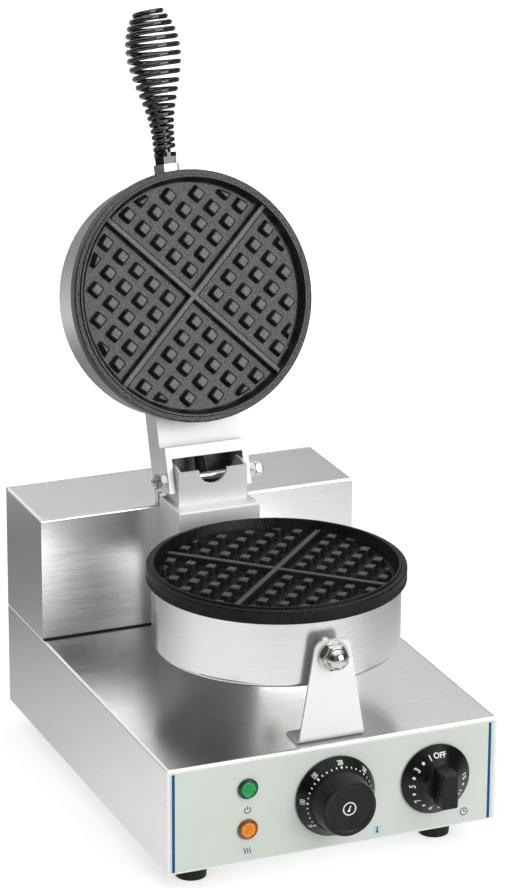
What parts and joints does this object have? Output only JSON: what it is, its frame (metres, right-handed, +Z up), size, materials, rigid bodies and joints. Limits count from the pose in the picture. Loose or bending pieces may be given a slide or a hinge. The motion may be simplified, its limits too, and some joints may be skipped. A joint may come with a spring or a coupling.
{
  "type": "waffle maker",
  "caption": "Countertop round deep-grid waffle maker with swing-up lid, spring handle, tower hinge and front dials",
  "frame": {"origin": "middle of the whole object's box, on the surface that its feet stand on", "axes": "+X to the right seen from the panel, +Y to the back, +Z up; the lid is drawn open"},
  "size_m": [0.25, 0.3954, 0.5465],
  "materials": {
    "sheet_steel": "brushed stainless sheet",
    "hinge_steel": "bright rolled stainless",
    "plated_fasteners": "zinc plated",
    "chromed_nut": "polished",
    "coated_plates": "dark non-stick coating on a casting",
    "heater_sheath": "heat-darkened",
    "black_rubber": "matte",
    "panel_film": "printed film",
    "black_knobs": "satin",
    "handle_black": "gloss black",
    "green_lens": "clear tinted",
    "orange_lens": "clear tinted",
    "black_fittings": "moulded",
    "pale_ceramic": "moulded"
  },
  "bodies": {
    "base": {"base_cover": "sheet_steel", "base_bottom_plate": "sheet_steel", "rubber_feet": "black_rubber", "foot_screws": "plated_fasteners", "foot_nuts": "plated_fasteners", "bottom_plate_screws": "plated_fasteners", "front_panel_film": "panel_film", "tower_cover": "sheet_steel", "tower_back_plate": "sheet_steel", "back_plate_screws": "plated_fasteners", "hinge_post": "sheet_steel", "post_rivets": "plated_fasteners", "hinge_bracket": "hinge_steel", "frame_screws": "plated_fasteners", "hinge_bolt": "plated_fasteners", "hinge_nuts": "plated_fasteners", "hinge_spacers": "plated_fasteners", "front_bracket": "sheet_steel", "front_bracket_screws": "plated_fasteners", "pan_stud": "plated_fasteners", "pan_stud_nut": "plated_fasteners", "pan_stud_washer": "chromed_nut", "pan_cap_nut": "chromed_nut", "pan_conduit": "hinge_steel", "pan_conduit_nuts": "plated_fasteners", "lower_drum": "sheet_steel", "lower_plate": "coated_plates", "lower_heater": "heater_sheath", "lower_clamp_plate": "hinge_steel", "lower_plate_stud": "plated_fasteners", "lower_plate_nuts": "plated_fasteners", "thermostat_bulb": "heater_sheath", "lid_lead": "black_rubber", "post_grommet": "black_rubber", "thermostat_body": "black_fittings", "timer_body": "black_fittings", "power_lamp_lens": "green_lens", "heat_lamp_lens": "orange_lens", "lamp_holders": "black_fittings", "terminal_block": "pale_ceramic", "cable_gland": "black_fittings", "cable_gland_nut": "black_fittings"},
    "lid": {"upper_drum": "sheet_steel", "upper_plate": "coated_plates", "upper_heater": "heater_sheath", "upper_clamp_plate": "hinge_steel", "upper_plate_stud": "plated_fasteners", "upper_plate_nuts": "plated_fasteners", "lid_arm": "hinge_steel", "arm_back_plate": "hinge_steel", "arm_screws": "plated_fasteners", "drum_grommet": "black_rubber", "handle_collar": "plated_fasteners", "handle_shank": "handle_black", "handle_inner_nut": "plated_fasteners", "handle_coil": "handle_black"},
    "thermostat_dial": {"thermostat_knob": "black_knobs", "thermostat_spindle": "plated_fasteners"},
    "timer_dial": {"timer_knob": "black_knobs", "timer_spindle": "plated_fasteners"}
  },
  "joints": [
    {"name": "lid_hinge", "type": "hinge", "parent": "base", "child": "lid", "pos_m": [0, 0.06871, 0.217], "axis": [1, 0, 0], "range_deg": [0, 108], "deforming": ["lid_lead"]},
    {"name": "thermostat_turn", "type": "hinge", "parent": "base", "child": "thermostat_dial", "pos_m": [0, -0.17109, 0.0595], "axis": [0, 1, 0], "range_deg": [0, 270]},
    {"name": "timer_turn", "type": "hinge", "parent": "base", "child": "timer_dial", "pos_m": [0.077, -0.17109, 0.0595], "axis": [0, 1, 0], "range_deg": [0, 300]}
  ]
}
